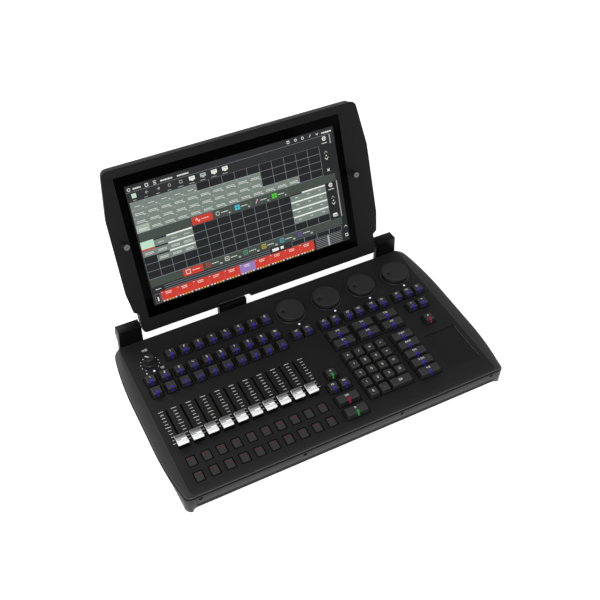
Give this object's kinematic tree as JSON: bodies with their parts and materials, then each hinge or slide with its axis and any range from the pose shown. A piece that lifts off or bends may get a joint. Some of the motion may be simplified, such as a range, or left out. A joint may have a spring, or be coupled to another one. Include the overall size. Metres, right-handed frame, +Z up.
{
  "type": "lighting control desk",
  "caption": "Compact stage lighting control desk: faders, encoder wheels, keys, number pad and trackpad, with a touch screen in a folding lid.",
  "frame": {"origin": "under the middle of the whole desk with its lid as in the picture, on the surface that its feet stand on", "axes": "+X to the operator's right along the hinge, +Y away from the operator, +Z up"},
  "size_m": [0.542, 0.4138, 0.3039],
  "materials": {
    "panel": "fine textured black powder coat",
    "shell": "satin moulded black",
    "rail": "satin dark grey",
    "chassis": "black powder coat",
    "hinge_cover": "semi-gloss black",
    "steel": "ground",
    "board": "green solder resist",
    "supply_case": "plain sheet",
    "trackpad": "smooth matte black",
    "socket": "moulded black",
    "lid_front": "satin black",
    "lid_shell": "textured black",
    "screen": "lit display",
    "screen_glass": "gloss black glass",
    "rubber": "matte",
    "fader_cap": "white gloss with a black skirt",
    "wheel": "satin dark grey",
    "knob": "satin black",
    "key": "satin dark grey",
    "flat_key": "smoked translucent cap"
  },
  "bodies": {
    "console": {"base_tray": "chassis", "top_panel": "panel", "cheek_left": "shell", "cheek_right": "shell", "front_rail": "rail", "rear_panel": "chassis", "hinge_block_left": "hinge_cover", "hinge_block_right": "hinge_cover", "cable_duct": "hinge_cover", "hinge_pin_left": "steel", "hinge_pin_right": "steel", "main_board": "board", "power_supply": "supply_case", "fader_board": "board", "key_board": "board", "trackpad": "trackpad", "connector_board": "board", "power_inlet": "socket", "foot_front_left": "rubber", "foot_front_right": "rubber", "foot_rear_left": "rubber", "foot_rear_right": "rubber"},
    "lid": {"lid_bezel": "lid_front", "lid_back": "lid_shell", "lcd_panel": "screen", "touch_glass": "screen_glass", "bumper_left": "rubber", "bumper_right": "rubber"},
    "fader_1": {"fader_cap_1": "fader_cap"},
    "fader_2": {"fader_cap_2": "fader_cap"},
    "fader_3": {"fader_cap_3": "fader_cap"},
    "fader_4": {"fader_cap_4": "fader_cap"},
    "fader_5": {"fader_cap_5": "fader_cap"},
    "fader_6": {"fader_cap_6": "fader_cap"},
    "fader_7": {"fader_cap_7": "fader_cap"},
    "fader_8": {"fader_cap_8": "fader_cap"},
    "fader_9": {"fader_cap_9": "fader_cap"},
    "fader_10": {"fader_cap_10": "fader_cap"},
    "wheel_1": {"encoder_wheel_1": "wheel"},
    "wheel_2": {"encoder_wheel_2": "wheel"},
    "wheel_3": {"encoder_wheel_3": "wheel"},
    "wheel_4": {"encoder_wheel_4": "wheel"},
    "knob": {"grand_master_knob": "knob"},
    "home_key_body": {"home_key": "key"},
    "preview_key_body": {"preview_key": "key"},
    "go_key_body": {"go_key": "key"},
    "release_key_body": {"release_key": "key"},
    "enter_key_body": {"enter_key": "key"},
    "function_keys_body": {"function_keys": "key"},
    "playback_select_keys_body": {"playback_select_keys": "key"},
    "playback_go_keys_body": {"playback_go_keys": "key"},
    "encoder_keys_body": {"encoder_keys": "key"},
    "page_keys_body": {"page_keys": "key"},
    "arrow_keys_body": {"arrow_keys": "key"},
    "edit_keys_body": {"edit_keys": "key"},
    "menu_keys_body": {"menu_keys": "key"},
    "step_keys_body": {"step_keys": "key"},
    "number_keys_body": {"number_keys": "key"},
    "flash_keys_rear_body": {"flash_keys_rear": "flat_key"},
    "flash_keys_front_body": {"flash_keys_front": "flat_key"}
  },
  "joints": [
    {"name": "lid_hinge", "type": "hinge", "parent": "console", "child": "lid", "pos_m": [0, 0.10209, 0.072], "axis": [1, 0, 0], "range_deg": [-22, 112.8]},
    {"name": "fader_1_slide", "type": "slide", "parent": "console", "child": "fader_1", "axis": [0, 1, 0], "range_m": [0, 0.06]},
    {"name": "fader_2_slide", "type": "slide", "parent": "console", "child": "fader_2", "axis": [0, 1, 0], "range_m": [0, 0.06]},
    {"name": "fader_3_slide", "type": "slide", "parent": "console", "child": "fader_3", "axis": [0, 1, 0], "range_m": [0, 0.06]},
    {"name": "fader_4_slide", "type": "slide", "parent": "console", "child": "fader_4", "axis": [0, 1, 0], "range_m": [0, 0.06]},
    {"name": "fader_5_slide", "type": "slide", "parent": "console", "child": "fader_5", "axis": [0, 1, 0], "range_m": [0, 0.06]},
    {"name": "fader_6_slide", "type": "slide", "parent": "console", "child": "fader_6", "axis": [0, 1, 0], "range_m": [0, 0.06]},
    {"name": "fader_7_slide", "type": "slide", "parent": "console", "child": "fader_7", "axis": [0, 1, 0], "range_m": [0, 0.06]},
    {"name": "fader_8_slide", "type": "slide", "parent": "console", "child": "fader_8", "axis": [0, 1, 0], "range_m": [0, 0.06]},
    {"name": "fader_9_slide", "type": "slide", "parent": "console", "child": "fader_9", "axis": [0, 1, 0], "range_m": [0, 0.06]},
    {"name": "fader_10_slide", "type": "slide", "parent": "console", "child": "fader_10", "axis": [0, 1, 0], "range_m": [0, 0.06]},
    {"name": "wheel_1_turn", "type": "hinge", "parent": "console", "child": "wheel_1", "pos_m": [0.0218, 0.04209, 0.047], "axis": [0, 0, 1], "continuous": true},
    {"name": "wheel_2_turn", "type": "hinge", "parent": "console", "child": "wheel_2", "pos_m": [0.08694, 0.04209, 0.047], "axis": [0, 0, 1], "continuous": true},
    {"name": "wheel_3_turn", "type": "hinge", "parent": "console", "child": "wheel_3", "pos_m": [0.15208, 0.04209, 0.047], "axis": [0, 0, 1], "continuous": true},
    {"name": "wheel_4_turn", "type": "hinge", "parent": "console", "child": "wheel_4", "pos_m": [0.21722, 0.04209, 0.047], "axis": [0, 0, 1], "continuous": true},
    {"name": "knob_turn", "type": "hinge", "parent": "console", "child": "knob", "pos_m": [-0.218, 0.04159, 0.047], "axis": [0, 0, 1], "range_deg": [-195, 105]},
    {"name": "home_key_press", "type": "slide", "parent": "console", "child": "home_key_body", "axis": [0, 0, -1], "range_m": [0, 0.0025], "stiffness_N_per_m": 400, "springref_m": -0.002},
    {"name": "preview_key_press", "type": "slide", "parent": "console", "child": "preview_key_body", "axis": [0, 0, -1], "range_m": [0, 0.0025], "stiffness_N_per_m": 400, "springref_m": -0.002},
    {"name": "go_key_press", "type": "slide", "parent": "console", "child": "go_key_body", "axis": [0, 0, -1], "range_m": [0, 0.0025], "stiffness_N_per_m": 400, "springref_m": -0.002},
    {"name": "release_key_press", "type": "slide", "parent": "console", "child": "release_key_body", "axis": [0, 0, -1], "range_m": [0, 0.0025], "stiffness_N_per_m": 400, "springref_m": -0.002},
    {"name": "enter_key_press", "type": "slide", "parent": "console", "child": "enter_key_body", "axis": [0, 0, -1], "range_m": [0, 0.0025], "stiffness_N_per_m": 400, "springref_m": -0.002},
    {"name": "function_keys_press", "type": "slide", "parent": "console", "child": "function_keys_body", "axis": [0, 0, -1], "range_m": [0, 0.0025], "stiffness_N_per_m": 700, "springref_m": -0.002},
    {"name": "playback_select_keys_press", "type": "slide", "parent": "console", "child": "playback_select_keys_body", "axis": [0, 0, -1], "range_m": [0, 0.0025], "stiffness_N_per_m": 700, "springref_m": -0.002},
    {"name": "playback_go_keys_press", "type": "slide", "parent": "console", "child": "playback_go_keys_body", "axis": [0, 0, -1], "range_m": [0, 0.0025], "stiffness_N_per_m": 700, "springref_m": -0.002},
    {"name": "encoder_keys_press", "type": "slide", "parent": "console", "child": "encoder_keys_body", "axis": [0, 0, -1], "range_m": [0, 0.0025], "stiffness_N_per_m": 700, "springref_m": -0.002},
    {"name": "page_keys_press", "type": "slide", "parent": "console", "child": "page_keys_body", "axis": [0, 0, -1], "range_m": [0, 0.0025], "stiffness_N_per_m": 700, "springref_m": -0.002},
    {"name": "arrow_keys_press", "type": "slide", "parent": "console", "child": "arrow_keys_body", "axis": [0, 0, -1], "range_m": [0, 0.0025], "stiffness_N_per_m": 700, "springref_m": -0.002},
    {"name": "edit_keys_press", "type": "slide", "parent": "console", "child": "edit_keys_body", "axis": [0, 0, -1], "range_m": [0, 0.0025], "stiffness_N_per_m": 700, "springref_m": -0.002},
    {"name": "menu_keys_press", "type": "slide", "parent": "console", "child": "menu_keys_body", "axis": [0, 0, -1], "range_m": [0, 0.0025], "stiffness_N_per_m": 700, "springref_m": -0.002},
    {"name": "step_keys_press", "type": "slide", "parent": "console", "child": "step_keys_body", "axis": [0, 0, -1], "range_m": [0, 0.0025], "stiffness_N_per_m": 700, "springref_m": -0.002},
    {"name": "number_keys_press", "type": "slide", "parent": "console", "child": "number_keys_body", "axis": [0, 0, -1], "range_m": [0, 0.0025], "stiffness_N_per_m": 900, "springref_m": -0.002},
    {"name": "flash_keys_rear_press", "type": "slide", "parent": "console", "child": "flash_keys_rear_body", "axis": [0, 0, -1], "range_m": [0, 0.0025], "stiffness_N_per_m": 700, "springref_m": -0.002},
    {"name": "flash_keys_front_press", "type": "slide", "parent": "console", "child": "flash_keys_front_body", "axis": [0, 0, -1], "range_m": [0, 0.0025], "stiffness_N_per_m": 700, "springref_m": -0.002}
  ]
}
